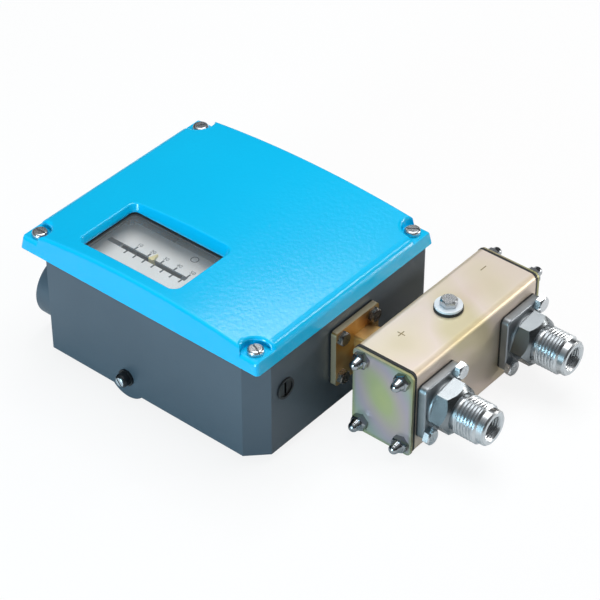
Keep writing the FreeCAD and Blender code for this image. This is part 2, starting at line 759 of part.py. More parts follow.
def make_spring(start, end):
    """Coil spring round the spindle's axis, with a faceted wire."""
    run = end - start - 2 * spring_wire_r
    steps = spring_coils * spring_steps
    points = []
    for step in range(steps + 1):
        turn = 2 * math.pi * step / spring_steps
        out = X * math.cos(turn) + Z * math.sin(turn)
        middle = Vector(spindle_x, start + spring_wire_r + run * step / steps, spindle_z) + out * spring_r
        for side in range(spring_sides):
            angle = 2 * math.pi * side / spring_sides
            points.append(middle + (out * math.cos(angle) + Y * math.sin(angle)) * spring_wire_r)
    facets = []
    for step in range(steps):
        for side in range(spring_sides):
            a = step * spring_sides + side
            b = step * spring_sides + (side + 1) % spring_sides
            c, d = b + spring_sides, a + spring_sides
            facets += [(a, b, c), (a, c, d)]
    last = steps * spring_sides
    for side in range(1, spring_sides - 1):
        facets += [(0, side + 1, side), (last, last + side, last + side + 1)]
    skin = Part.Shape()
    skin.makeShapeFromMesh((points, facets), same)
    return Part.makeSolid(skin)


def make_switch():
    x0, x1 = plunger_x - switch_w / 2, plunger_x + switch_w / 2
    z0 = spindle_z - switch_h / 2
    body = block(x0, x1, switch_front, switch_front + switch_d, z0, z0 + switch_h)
    body = body.makeFillet(switch_round, straight_edges(body, Z))
    body = body.cut(drum((plunger_x, switch_front, spindle_z), Y, stem_l + stem_spare, plunger_r + stem_play))
    stand = block(x0 + stand_inset, x1 - stand_inset, switch_front + stand_inset,
                  switch_front + switch_d - stand_inset, chassis_z, z0)
    screws = []
    for x in (x0 + switch_screw_inset, x1 - switch_screw_inset):
        y = switch_front + switch_d - switch_screw_inset
        depth = switch_screw_bite + gap
        hole = drum((x, y, z0 - depth), Z, switch_h + depth, switch_screw_r + slip)
        body, stand = body.cut(hole), stand.cut(hole)
        screws.append(pan_screw((x, y, z0 + switch_h), Z, switch_screw_r, switch_h + switch_screw_bite,
                                small_head_r * switch_screw_r, small_head_h * switch_screw_r))
    back = switch_front + switch_d
    low, high = spindle_z - tag_t / 2, spindle_z + tag_t / 2
    tags = [block(x - tag_w / 2, x + tag_w / 2, back, back + tag_l, low, high)
            for x in (x0 + tag_inset, plunger_x, x1 - tag_inset)]
    parts["switch_body"] = body
    parts["switch_stand"] = stand
    parts["switch_screws"] = Part.makeCompound(screws)
    parts["switch_tags"] = Part.makeCompound(tags)
    plunger_l = switch_gap - gap + stem_l
    parts["switch_plunger"] = drum((plunger_x, beam_back + gap, spindle_z), Y, plunger_l, plunger_r)


def make_terminals():
    width = terminal_poles * terminal_pitch + 2 * terminal_end
    x0, y0 = terminal_x - width / 2, terminal_y - terminal_d / 2
    y1, top = y0 + terminal_d, chassis_z + terminal_h
    shoulder = chassis_z + terminal_step
    sides = [(y0, chassis_z), (y1, chassis_z), (y1, shoulder), (y1 - terminal_slope, top),
             (y0 + terminal_slope, top), (y0, shoulder)]
    base = prism([(x0, y, z) for y, z in sides], X * width)
    screws = []
    for pole in range(terminal_poles):
        x = terminal_x + (pole - (terminal_poles - 1) / 2) * terminal_pitch
        well = drum((x, terminal_y, top - terminal_well), Z, terminal_well, terminal_screw_r + terminal_play)
        way_in = drum((x, y0, chassis_z + terminal_wire_z), Y, terminal_d, terminal_wire_r)
        base = base.cut([well, way_in])
        screws.append(pan_screw((x, terminal_y, top - terminal_sink), Z, terminal_neck_r, terminal_neck_l,
                                terminal_screw_r, terminal_head_h, terminal_slot_step * pole))
    parts["terminal_block"] = base
    parts["terminal_screws"] = Part.makeCompound(screws)


def make_earth_point():
    washer = ring((-half_w, earth_y, earth_z), X * -1, earth_washer_t, earth_washer_r, earth_screw_r + slip)
    seat = (-half_w - earth_washer_t, earth_y, earth_z)
    parts["earth_washer"] = washer
    parts["earth_screw"] = pan_screw(seat, X * -1, earth_screw_r, earth_washer_t + wall, earth_head_r,
                                     earth_head_h, earth_slot_turn)


def make_neck():
    middle, back = (flange_x, flange_z), flange_face + flange_t
    gasket = upright_plate(middle, flange_size, flange_size, back, near_wall, flange_round)
    plate = upright_plate(middle, flange_size, flange_size, flange_face, back, flange_round)
    tube = upright_plate((neck_x, flange_z), neck_w, neck_h, casing_back, flange_face, neck_round)
    spigot = drum((neck_x, casing_back, flange_z), Y * -1, sheet_t + neck_ring_t, neck_spigot_r)
    body = join(plate, tube, spigot)
    length = near_wall - casing_back + sheet_t + neck_ring_t
    bore = drum((neck_x, near_wall, flange_z), Y * -1, length, neck_bore_r)
    screws = []
    holes = [bore]
    for x, z in flange_screw_points():
        holes.append(drum((x, near_wall, z), Y * -1, flange_t + flange_gasket_t, flange_screw_r + slip))
        length = flange_t + flange_gasket_t + wall
        screws.append(hex_screw((x, flange_face, z), Y * -1, flange_screw_r, length, flange_head_flats,
                                flange_head_h, flange_head_turn))
    parts["neck_flange"] = body.cut(holes)
    parts["flange_gasket"] = gasket.cut(holes)
    parts["flange_screws"] = Part.makeCompound(screws)
    parts["neck_ring"] = ring((neck_x, casing_back - sheet_t, flange_z), Y * -1, neck_ring_t, neck_ring_r,
                              neck_spigot_r + slip)
    parts["rod_bush"] = ring((neck_x, casing_back, flange_z), Y, neck_l, neck_bore_r - slip, rod_r + slip)
    rod_start, rod_end = rocker_back + gap, beam_front - gap
    parts["push_rod"] = drum((neck_x, rod_start, flange_z), Y, rod_end - rod_start, rod_r)


def make_casing():
    tube = block(casing_left, casing_right, casing_front, casing_back, casing_z, casing_top)
    tube = tube.makeFillet(sheet_bend_r, straight_edges(tube, X))
    hollow = block(casing_left, casing_right, casing_front + sheet_t, casing_back - sheet_t,
                   casing_z + sheet_t, casing_top - sheet_t)
    tube = tube.cut(hollow.makeFillet(sheet_bend_r - sheet_t, straight_edges(hollow, X)))
    holes = [drum((neck_x, casing_back, flange_z), Y * -1, sheet_t, neck_spigot_r + slip),
             drum((casing_x, casing_mid_y, casing_z), Z, casing_h, pivot_r + slip)]
    for x in port_xs:
        holes.append(drum((x, casing_front, port_z), Y, sheet_t, fitting_spigot_r + slip))
        for sx, sz in port_screw_points(x):
            holes.append(drum((sx, casing_front, sz), Y, sheet_t, port_screw_r + slip))
    parts["sensor_casing"] = tube.cut(holes)


def cap_nut(base, along):
    nut = hex_bar(base, along, nut_h, nut_flats, nut_turn)
    taper_base = Vector(*base) + along * nut_h
    taper = Part.makeCone(dome_base_r, dome_r, dome_taper_l, taper_base, along)
    ball = Part.makeSphere(dome_r, taper_base + along * dome_taper_l)
    hole = drum(base, along, nut_h, tie_r + slip)
    return join(nut, taper, ball.cut(nut)).cut(hole)


def make_casing_ends():
    low, high = 0.0, casing_top - end_plate_drop
    faces = {"left": (casing_left, -1), "right": (casing_right, 1)}
    nuts = []
    for side, (face, way) in faces.items():
        gasket_face = face + way * end_gasket_t
        plate_face = gasket_face + way * end_plate_t
        gasket_x, plate_x = sorted((face, gasket_face)), sorted((gasket_face, plate_face))
        gasket = block(*gasket_x, casing_front, casing_back, casing_z, casing_top)
        gasket = gasket.makeFillet(end_corner_r, straight_edges(gasket, X))
        plate = block(*plate_x, casing_front, casing_back, low, high)
        plate = plate.makeFillet(end_corner_r, straight_edges(plate, X))
        for y, z in tie_points():
            hole = drum((min(face, plate_face), y, z), X, end_gasket_t + end_plate_t, tie_r + slip)
            gasket, plate = gasket.cut(hole), plate.cut(hole)
            nuts.append(cap_nut((plate_face, y, z), X * way))
        parts["end_gasket_" + side] = gasket
        parts["end_plate_" + side] = plate
    start = casing_left - end_gasket_t - end_plate_t - nut_h
    length = 2 * (casing_x - start)
    parts["tie_rods"] = Part.makeCompound([drum((start, y, z), X, length, tie_r) for y, z in tie_points()])
    parts["cap_nuts"] = Part.makeCompound(nuts)


def make_fitting(x):
    """Hexagon fitting: spigot through the flange and the casing wall, outer thread, inner thread."""
    steps = [(relief_r, relief_r, relief_l), (thread_r, thread_r, thread_l), (thread_r, nose_r, thread_end_l),
             (nose_r, nose_r, nose_l), (nose_r, nose_bevel_r, nose_bevel_l)]
    end = port_boss_face - fitting_hex_l
    profile = [(0, end)]
    for start_r, end_r, length in steps:
        profile += [(start_r, end), (end_r, end - length)]
        end -= length
    profile.append((0, end))
    spigot_l = seat_plate_face - port_boss_face
    body = join(hex_bar((x, port_boss_face, port_z), Y * -1, fitting_hex_l, fitting_flats, fitting_turn),
                drum((x, seat_plate_face, port_z), Y * -1, spigot_l, fitting_spigot_r),
                turned(x, profile))
    mouth = Part.makeCone(socket_mouth_r, socket_r, socket_mouth_l, Vector(x, end, port_z), Y)
    return body.cut([mouth, drum((x, end, port_z), Y, socket_l, socket_r),
                     drum((x, end, port_z), Y, seat_plate_face - end, passage_r)])


def turned(x, profile):
    """Solid of revolution about a port's axis, from (radius, y) corners."""
    corners = [Vector(x + r, y, port_z) for r, y in profile]
    return Part.Face(Part.makePolygon(corners + corners[:1])).revolve(Vector(x, 0, port_z), Y, 360)


def make_bellows(x):
    """Closed metal bellows on its seat, with a stud that meets the rocker."""
    steps = []
    for fold in range(bellows_folds):
        y = seat_plate_face + fold * bellows_pitch
        steps += [(bellows_root_r, y), (bellows_r, y + bellows_pitch / 2)]
    steps.append((bellows_root_r, bellows_end - bellows_cap_t))
    outside = steps + [(bellows_root_r, bellows_end), (stud_r, bellows_end), (stud_r, bellows_end + stud_l),
                       (0, bellows_end + stud_l)]
    inside = [(r - bellows_skin, y) for r, y in steps]
    profile = outside + [(0, bellows_end - bellows_cap_t)] + inside[::-1]
    return turned(x, profile)


def port_plate(x, y0, y1):
    return upright_plate((x, port_z), port_flange_w, port_flange_h, y0, y1, port_flange_r)


def make_ports():
    gaskets = []
    seats = []
    screws = []
    for side, x in zip(("high", "low"), port_xs):
        flange = port_plate(x, port_flange_face, port_flange_back)
        front = [edge for edge in flange.Edges if edge.BoundBox.YMax < port_flange_face + same]
        boss = drum((x, port_flange_face, port_z), Y * -1, port_boss_h, port_boss_r)
        boss_rim = [edge for edge in boss.Edges if edge.BoundBox.YMax < port_boss_face + same]
        boss = boss.makeFillet(port_flange_round, boss_rim)
        flange = join(flange.makeFillet(port_flange_round, front), boss)
        gasket = port_plate(x, port_flange_back, casing_front)
        seat = port_plate(x, casing_front + sheet_t, seat_plate_face)
        length = seat_plate_face - port_flange_face
        holes = [drum((x, port_boss_face, port_z), Y, length + port_boss_h, fitting_spigot_r + slip)]
        for sx, sz in port_screw_points(x):
            holes.append(drum((sx, port_flange_face, sz), Y, length, port_screw_r + slip))
            screws.append(hex_screw((sx, port_flange_face, sz), Y * -1, port_screw_r, length, port_head_flats,
                                    port_head_h, port_head_turn))
        parts["port_flange_" + side] = flange.cut(holes)
        parts["port_fitting_" + side] = make_fitting(x)
        parts["bellows_" + side] = make_bellows(x)
        gaskets.append(gasket.cut(holes))
        seats.append(seat.cut(holes))
    parts["port_gaskets"] = Part.makeCompound(gaskets)
    parts["bellows_seats"] = Part.makeCompound(seats)
    parts["port_screws"] = Part.makeCompound(screws)


def make_rocker():
    left, right = port_xs[0] - rocker_over, port_xs[1] + rocker_over
    arm = block(left, right, rocker_front, rocker_back, rocker_low, rocker_high)
    arm = arm.makeFillet(rocker_round, straight_edges(arm, Y))
    height = rocker_high - rocker_low
    hub = drum((casing_x, casing_mid_y, rocker_low), Z, height, rocker_hub_r)
    web = block(casing_x - rocker_hub_r, casing_x + rocker_hub_r, casing_mid_y, rocker_front,
                rocker_low, rocker_high)
    bore = drum((casing_x, casing_mid_y, rocker_low), Z, height, pivot_r + slip)
    parts["rocker"] = join(arm, hub, web).cut(bore)
    seal_top = casing_top + pivot_seal_t
    head_z = seal_top + pivot_washer_t
    at = (casing_x, casing_mid_y)
    parts["pivot_seal"] = ring((*at, casing_top), Z, pivot_seal_t, pivot_seal_r, pivot_r + slip)
    parts["pivot_washer"] = ring((*at, seal_top), Z, pivot_washer_t, pivot_washer_r, pivot_r + slip)
    parts["pivot_bolt"] = hex_screw((*at, head_z), Z, pivot_r, head_z - casing_z, pivot_flats, pivot_head_h,
                                    pivot_head_turn)
    levels = [(casing_z + sheet_t, rocker_low - gap), (rocker_high + gap, casing_top - sheet_t)]
    parts["pivot_spacers"] = Part.makeCompound(
        [ring((*at, z0), Z, z1 - z0, spacer_r, pivot_r + slip) for z0, z1 in levels])


def main():
    make_housing()
    make_cover()
    make_cover_fittings()
    make_window()
    make_scale()
    make_chassis()
    make_setpoint_gear()
    make_beam()
    make_switch()
    make_terminals()
    make_earth_point()
    make_neck()
    make_casing()
    make_casing_ends()
    make_ports()
    make_rocker()
    os.makedirs("parts", exist_ok=True)
    for name, shape in parts.items():
        shape.exportStep(os.path.join("parts", name + ".step"))


main()
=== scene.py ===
import json
import math

import bmesh
import bpy
from mathutils import Matrix, Vector


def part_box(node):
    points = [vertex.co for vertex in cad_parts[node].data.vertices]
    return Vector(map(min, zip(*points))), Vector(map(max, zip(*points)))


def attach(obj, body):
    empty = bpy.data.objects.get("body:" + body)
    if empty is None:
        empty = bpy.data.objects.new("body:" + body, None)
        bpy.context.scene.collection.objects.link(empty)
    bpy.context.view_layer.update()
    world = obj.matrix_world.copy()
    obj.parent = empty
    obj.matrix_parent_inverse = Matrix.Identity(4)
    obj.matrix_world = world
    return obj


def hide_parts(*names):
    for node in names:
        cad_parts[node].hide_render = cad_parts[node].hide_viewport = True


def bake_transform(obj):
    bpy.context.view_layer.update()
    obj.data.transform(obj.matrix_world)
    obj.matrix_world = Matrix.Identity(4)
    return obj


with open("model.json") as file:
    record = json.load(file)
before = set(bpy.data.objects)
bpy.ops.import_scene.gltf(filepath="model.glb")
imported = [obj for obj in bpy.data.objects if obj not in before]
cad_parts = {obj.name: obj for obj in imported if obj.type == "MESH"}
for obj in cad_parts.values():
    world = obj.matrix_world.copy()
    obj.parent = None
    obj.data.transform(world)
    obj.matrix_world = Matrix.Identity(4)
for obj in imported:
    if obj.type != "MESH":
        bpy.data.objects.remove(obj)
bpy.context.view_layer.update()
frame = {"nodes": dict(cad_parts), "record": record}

# Differential pressure switch: finishes, printed scale, cut threads, stamped marks and smooth copies of
# the springs and bellows over the solids. Metres, in the solids' own frame.

mm = 0.001
weld = 0.001 * mm
nodes = frame["nodes"]
mounts = {mount["name"]: mount for mount in frame["record"]["mounts"]}

# Camera of the photo
photo_px = 600
focal_px = 2358.0
sensor_mm = 36.0
camera_place = Vector((-0.6844, -0.6176, 0.7710))
camera_azimuth = math.radians(-50.18)
camera_elevation = math.radians(38.92)
camera_reach = 20.0

# Studio
floor_reach = 4.0
floor_white = 0.86
floor_matt = 0.2       # share of light that the paper throws on the object
floor_gloss = 0.88     # the paper as bright surfaces mirror it
floor_mottle = 0.02
room_tint = (0.96, 0.98, 1.0, 1.0)
room_dim = 0.08
room_bright = 0.6
room_rise = (0.6, 0.9)   # height on a unit sphere, from where the room is dim to where it is bright

# Lamps: place, size, watts, colour
white = (1.0, 1.0, 1.0)
lamp_target = (0.0, -0.02, 0.04)
lamps = {
    "top_softbox": ((0.25, 0.0, 1.2), (0.9, 0.7), 8.5, white),
    "back_softbox": ((0.56, 0.3, 1.0), (0.26, 0.26), 1.1, white),
    "left_softbox": ((-1.15, -0.02, 0.25), (0.3, 0.5), 13.0, (0.52, 0.84, 1.0)),
    "right_lamp": ((0.68, -0.65, 0.78), (0.14, 0.14), 0.8, white),
    "low_lamp": ((0.9, -0.8, 0.16), (0.35, 0.3), 5.8, (1.0, 0.98, 0.95)),
}

# Painted highlight on the end face of the earth screw, and how deep it reaches
highlight_end_depth = 0.3 * mm

# Scale print
print_h = 0.04 * mm
bar_x = -31.3 * mm
bar_low_y = -1.2 * mm
bar_high_y = 50.3 * mm
bar_w = 3.0 * mm
slot_w = 3.2 * mm
tick_l = 2.5 * mm
tick_w = 0.9 * mm
fine_pitch = 6.02 * mm
fine_count = 7
fine_y = 0.4 * mm
coarse_pitch = 8.68 * mm
coarse_count = 5
coarse_y = -0.3 * mm
number_x = -25.6 * mm
number_h = 3.2 * mm
number_step = 10
digit_smooth = 3
ring_x, ring_y = -17.0 * mm, 6.0 * mm
ring_r = 2.2 * mm
ring_w = 0.4 * mm
ring_sides = 32
slot_margin = 1.0 * mm   # less than the slot's distance from the ends of the scale plate

# Port fittings: threads, and the bright turned part from the free end
outer_pitch = 1.814 * mm
outer_depth = 1.1 * mm
inner_pitch = 1.337 * mm
inner_depth = 0.75 * mm
runout = 0.8 * mm
flank_rise = 3.0         # thread depths that a flank climbs in one pitch
flat_cut = 0.25          # thread depths cut off flat at the crest and at the root
thread_around = 64
thread_steps = 8         # rings on one pitch
bare_turned_l = 18.6 * mm
rim_tolerance = 0.03 * mm
edge_angle = math.radians(32)

# Room for the beam's stroke at the foot of the range spring
spring_play = 0.4 * mm

# Plating of the casing, with a golden painted highlight along its folds
casing_bands = [(208, 196, 160), (222, 208, 186), (226, 210, 198), (210, 198, 164)]
fold_highlight_reach = 3.6 * mm
fold_highlight_stray = 0.5         # how far the golden edge wanders, as a share of its reach
fold_highlight_gold = (196, 172, 112)
fold_highlight_share = 0.6

# Plating of the neck flange: amber, partly darkened as painted shade, with its left and top faces painted
# pale as lit faces
neck_bands = [(186, 140, 76), (204, 172, 116), (160, 102, 42)]
lit_face_depth = 0.3 * mm
lit_face_beige = (224, 206, 172)

# Plating of the end plates, from the middle outwards
rainbow_rise = 1.5 * mm
rainbow_slim = 1.3       # how much narrower than long the coloured patch is
rainbow_reach = 1.6
rainbow_stray = 0.6      # how far its edges wander, in half widths of the plate
rainbow_shades = [
    (0.0, (188, 184, 126)),
    (0.2, (184, 180, 130)),
    (0.42, (192, 168, 160)),
    (0.55, (186, 162, 168)),
    (0.75, (170, 168, 156)),
    (1.0, (180, 174, 138)),
]
olive_edge = 2.4 * mm
olive = (150, 150, 92)
olive_share = 0.7

# Plain finishes: noise scale and detail, dark and pale colour, roughness and its drift, metal
plain_finishes = {
    "white_zinc": (140, 3, (216, 221, 226), (232, 236, 240), 0.32, 0.12, 0.2),
    "polished_steel": (200, 3, (138, 142, 146), (172, 175, 178), 0.14, 0.1, 1.0),
    "flange_screw_steel": (300, 3, (92, 88, 84), (146, 142, 138), 0.2, 0.15, 1.0),
    "scale_enamel": (40, 2, (232, 233, 231), (246, 246, 244), 0.35, 0.1, 0.0),
    "pointer_paint": (500, 2, (232, 216, 150), (245, 232, 178), 0.4, 0.1, 0.0),
    "printing_ink": (800, 2, (52, 57, 60), (78, 84, 88), 0.5, 0.1, 0.0),
    "stamped_shade": (900, 2, (116, 100, 66), (150, 132, 92), 0.45, 0.1, 0.6),
}

# Stamped marks on the sensor casing
mark_y = -100.3 * mm
mark_from_port = 3.2 * mm
mark_size = 4.6 * mm
mark_w = 0.55 * mm


class Wire:
    """An output socket. Arithmetic on it adds Math nodes to its sheet."""

    def __init__(self, sheet, socket):
        self.sheet = sheet
        self.socket = socket

    def maths(self, operation, *values):
        return self.sheet.node("ShaderNodeMath", {"operation": operation}, dict(enumerate(values)))

    def twin(self, name):
        """Another output of the same node."""
        return Wire(self.sheet, self.socket.node.outputs[name])

    def absolute(self):
        return self.maths("ABSOLUTE", self)

    def root(self):
        return self.maths("SQRT", self)

    def below(self, limit):
        return self.maths("LESS_THAN", self, limit)

    def above(self, limit):
        return self.maths("GREATER_THAN", self, limit)

    def least(self, other):
        return self.maths("MINIMUM", self, other)

    def most(self, other):
        return self.maths("MAXIMUM", self, other)

    def held(self, low, high):
        return self.most(low).least(high)

    def __add__(self, other):
        return self.maths("ADD", self, other)

    def __radd__(self, other):
        return self.maths("ADD", other, self)

    def __sub__(self, other):
        return self.maths("SUBTRACT", self, other)

    def __rsub__(self, other):
        return self.maths("SUBTRACT", other, self)

    def __mul__(self, other):
        return self.maths("MULTIPLY", self, other)

    def __rmul__(self, other):
        return self.maths("MULTIPLY", other, self)

    def __truediv__(self, other):
        return self.maths("DIVIDE", self, other)

    def __rtruediv__(self, other):
        return self.maths("DIVIDE", other, self)


class Sheet:
    """A node tree written as expressions."""

    def __init__(self, tree):
        self.tree = tree

    def node(self, kind, settings=None, sockets=None, out=0):
        made = self.tree.nodes.new(kind)
        for name, value in (settings or {}).items():
            if name == "stops":
                set_stops(made.color_ramp, value)
            else:
                setattr(made, name, value)
        for key, value in (sockets or {}).items():
            if isinstance(value, Wire):
                self.tree.links.new(value.socket, made.inputs[key])
            else:
                made.inputs[key].default_value = value
        return Wire(self, made.outputs[out] if made.outputs else None)


def set_stops(ramp, stops):
    while len(ramp.elements) < len(stops):
        ramp.elements.new(1.0)
    for element, (place, colour) in zip(ramp.elements, stops):
        element.position = place
        element.color = colour


class Finish(Sheet):
    """One procedural material on the pieces' own coordinates."""

    def __init__(self, name):
        self.material = bpy.data.materials.new(name)
        self.material.use_nodes = True
        super().__init__(self.material.node_tree)
        self.tree.nodes.clear()
        self.place = self.node("ShaderNodeTexCoord", out="Object")

    def along(self, axis):
        """The place on the piece along one axis, in metres."""
        return self.node("ShaderNodeSeparateXYZ", None, {0: self.place}, axis)

    def stretched(self, x, y, z):
        return self.node("ShaderNodeMapping", None, {"Vector": self.place, "Scale": (x, y, z)})

    def noise(self, scale, detail=2.0, rough=0.5, place=None):
        sockets = {"Vector": place or self.place, "Scale": scale, "Detail": detail, "Roughness": rough}
        return self.node("ShaderNodeTexNoise", None, sockets, "Fac")

    def ramp(self, factor, *stops):
        return self.node("ShaderNodeValToRGB", {"stops": stops}, {"Fac": factor}, "Color")

    def mixed(self, factor, first, second):
        sockets = {0: factor, 6: first, 7: second}
        return self.node("ShaderNodeMix", {"data_type": "RGBA"}, sockets, 2)

    def bump(self, height, strength, depth):
        sockets = {"Height": height, "Strength": strength, "Distance": depth}
        return self.node("ShaderNodeBump", None, sockets, "Normal")

    def surface(self, colour, rough, metal=0.0, **constants):
        sockets = {"Base Color": colour, "Roughness": rough, "Metallic": metal}
        sockets.update({name.replace("_", " "): value for name, value in constants.items()})
        shader = self.node("ShaderNodeBsdfPrincipled", None, sockets)
        self.node("ShaderNodeOutputMaterial", None, {"Surface": shader})
        return self.material


def rgb(red, green, blue):
    """Linear colour from the eight-bit values of a colour picker."""
    def linear(value):
        part = value / 255
        return part / 12.92 if part <= 0.04045 else ((part + 0.055) / 1.055) ** 2.4
    return (linear(red), linear(green), linear(blue), 1.0)


def middle_and_half(name):
    """Middle and half size of a solid's box."""
    low, high = map(Vector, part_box(name))
    return (low + high) / 2, (high - low) / 2


def plain_finish(name):
    """A finish whose tone and roughness drift together."""
    scale, detail, dark, pale, rough, drift, metal = plain_finishes[name]
    f = Finish(name)
    cloud = f.noise(scale, detail)
    return f.surface(f.mixed(cloud, rgb(*dark), rgb(*pale)), rough + drift * cloud, metal)


def cover_enamel():
    """Glossy sprayed paint with a fine orange peel."""
    f = Finish("cover_enamel")
    tone = f.noise(11, 2)
    peel = f.noise(480, 2)
    colour = f.mixed(tone, rgb(0, 182, 234), rgb(0, 196, 242))
    bumps = f.bump(peel, 0.7, 0.12 * mm)
    return f.surface(colour, 0.15 + 0.06 * peel, Normal=bumps, Specular_IOR_Level=0.5)


def housing_enamel():
    f = Finish("housing_enamel")
    tone = f.noise(16, 3)
    grain = f.noise(900, 2)
    colour = f.mixed(tone, rgb(75, 86, 96), rgb(89, 100, 110))
    bumps = f.bump(grain, 0.08, 0.12 * mm)
    return f.surface(colour, 0.36 + 0.1 * grain, metal=0.35, Normal=bumps, Specular_IOR_Level=0.6)


def bright_zinc():
    f = Finish("bright_zinc")
    cloud = f.noise(160, 3)
    scuff = f.noise(2600, 2)
    colour = f.mixed(cloud, rgb(184, 188, 192), rgb(216, 218, 220))
    return f.surface(colour, 0.2 + 0.16 * scuff, metal=1.0, Normal=f.bump(scuff, 0.06, 0.05 * mm))


def dull_zinc():
    f = Finish("dull_zinc")
    cloud = f.noise(90, 3)
    scuff = f.noise(1400, 2)
    colour = f.mixed(cloud, rgb(122, 128, 133), rgb(160, 164, 167))
    return f.surface(colour, 0.32 + 0.16 * scuff, metal=0.9, Normal=f.bump(scuff, 0.08, 0.06 * mm))


def banded(f, noise, bands, start, step):
    """Colours that follow each other through a noise."""
    return f.ramp(noise, *[(start + step * i, rgb(*band)) for i, band in enumerate(bands)])


def neck_plating():
    """Amber plating, partly darkened as painted shade, with the flange's left and top faces painted pale
    beige as lit faces.
    """
    f = Finish("neck_plating")
    amber = banded(f, f.noise(60, 1.5, 0.4), neck_bands, 0.3, 0.2)
    low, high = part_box("neck_flange")
    left_edge = f.along("X").below(low[0] + lit_face_depth)
    top_edge = f.along("Z").above(high[2] - lit_face_depth)
    return plated(f, f.mixed(left_edge.most(top_edge), amber, rgb(*lit_face_beige)), metal=0.85)


def casing_plating():
    """Yellow passivated sheet, with a golden painted highlight along its folds."""
    f = Finish("casing_plating")
    sheet = banded(f, f.noise(18, 1.5, 0.4), casing_bands, 0.36, 0.09)
    middle, half = middle_and_half("sensor_casing")
    inward = half.y - (f.along("Y") - middle.y).absolute()
    below = middle.z + half.z - f.along("Z")
    away = (inward * inward + below * below).root() / fold_highlight_reach + fold_highlight_stray * (f.noise(60, 2) - 0.5)
    highlight_weight = 1.0 - away.held(0.0, 1.0)
    return plated(f, f.mixed(fold_highlight_share * highlight_weight, sheet, rgb(*fold_highlight_gold)), metal=0.4)


def plated(f, colour, metal):
    """Rolled sheet under a plating of that colour."""
    grain = f.noise(1700, 2)
    rolled = f.noise(60, 3, 0.6, f.stretched(1.0, 26.0, 26.0))
    rough = 0.3 + 0.12 * rolled + 0.06 * grain
    return f.surface(colour, rough, metal, Normal=f.bump(grain, 0.05, 0.05 * mm))


def rainbow_zinc():
    """Plating of the end plates: its colours change from the middle outwards, with an olive edge."""
    f = Finish("end_plating")
    middle, half = middle_and_half("end_plate_left")
    y, z = f.along("Y") - middle.y, f.along("Z") - middle.z
    across, upward = y / half.y, (z - rainbow_rise) / half.z
    longways = (across + upward) / rainbow_slim
    sideways = (across - upward) * rainbow_slim
    stray = rainbow_stray * (f.noise(32, 2) - 0.5)
    reach = ((longways * longways + sideways * sideways) / 2.0).root() + stray
    colour = f.ramp(reach / rainbow_reach, *[(place, rgb(*shade)) for place, shade in rainbow_shades])
    inside = (half.y - y.absolute()).least(half.z - z.absolute())
    border = 1.0 - inside.held(0.0, olive_edge) / olive_edge
    return plated(f, f.mixed(olive_share * border, colour, rgb(*olive)), metal=0.35)


def turned_steel():
    """Dull forged hexagon and bright turned end of a port fitting."""
    f = Finish("turned_steel")
    rings = f.noise(90, 3, 0.6, f.stretched(0.6, 30.0, 0.6))
    cloud = f.noise(120, 3)
    turned = f.along("Y").below(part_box("port_fitting_high")[0][1] + bare_turned_l)
    forged = f.mixed(cloud, rgb(112, 117, 120), rgb(142, 147, 150))
    bright = f.mixed(cloud, rgb(176, 180, 183), rgb(204, 207, 209))
    colour = f.mixed(turned, forged, bright)
    rough = 0.2 + 0.08 * cloud + 0.1 * rings * turned
    return f.surface(colour, rough, metal=1.0, Normal=f.bump(rings * turned, 0.03, 0.05 * mm))


def earth_screw_steel():
    """Head painted black as shade on its sides, with a painted highlight on its end face."""
    f = Finish("earth_screw_steel")
    highlighted_end = f.along("X").below(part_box("earth_screw")[0][0] + highlight_end_depth)
    scuff = f.noise(1500, 2)
    black = f.mixed(scuff, rgb(20, 20, 22), rgb(34, 34, 37))
    bright = f.mixed(scuff, rgb(196, 202, 208), rgb(228, 232, 236))
    return f.surface(f.mixed(highlighted_end, black, bright), 0.25 + 0.15 * scuff, metal=0.9 * highlighted_end)


def sealing_rubber():
    f = Finish("sealing_rubber")
    grain = f.noise(1400, 3)
    colour = f.mixed(grain, rgb(20, 20, 21), rgb(38, 38, 40))
    return f.surface(colour, 0.55 + 0.2 * grain, Normal=f.bump(grain, 0.1, 0.08 * mm))


def moulded_plastic(name, dark, pale, rough):
    f = Finish(name)
    grain = f.noise(1100, 3)
    colour = f.mixed(grain, dark, pale)
    return f.surface(colour, rough + 0.15 * grain, Normal=f.bump(grain, 0.06, 0.06 * mm))


def window_glass():
    f = Finish("window_glass")
    veil = f.noise(30, 2)
    colour = f.mixed(veil, rgb(205, 214, 218), rgb(226, 232, 234))
    return f.surface(colour, 0.03 + 0.03 * veil, Alpha=0.06 + 0.05 * veil)


def pressed_steel():
    f = Finish("pressed_steel")
    rolled = f.noise(70, 3, 0.6, f.stretched(1.0, 22.0, 1.0))
    colour = f.mixed(rolled, rgb(150, 153, 156), rgb(190, 192, 194))
    return f.surface(colour, 0.3 + 0.2 * rolled, metal=1.0)


def turned_brass():
    f = Finish("turned_brass")
    rings = f.noise(80, 3, 0.6, f.stretched(0.6, 26.0, 0.6))
    colour = f.mixed(rings, rgb(186, 150, 84), rgb(220, 188, 116))
    return f.surface(colour, 0.25 + 0.2 * rings, metal=1.0)


def dress(material, *names):
    """Gives solids of the frame a finish."""
    for name in names:
        for held in nodes[name].material_slots:
            held.material = material


def placed(name, data):
    """A new object in the scene, at the origin."""
    made = bpy.data.objects.new(name, data)
    bpy.context.scene.collection.objects.link(made)
    return made


def piece(name, mesh, material, body):
    """Adds a finished mesh to the object, on one body."""
    made = placed(name, mesh)
    if not mesh.materials:
        mesh.materials.append(material)
    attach(made, body)
    return made


def plain_mesh(shape, name):
    """A mesh from a bmesh, which is used up."""
    mesh = bpy.data.meshes.new(name)
    shape.to_mesh(mesh)
    shape.free()
    return mesh


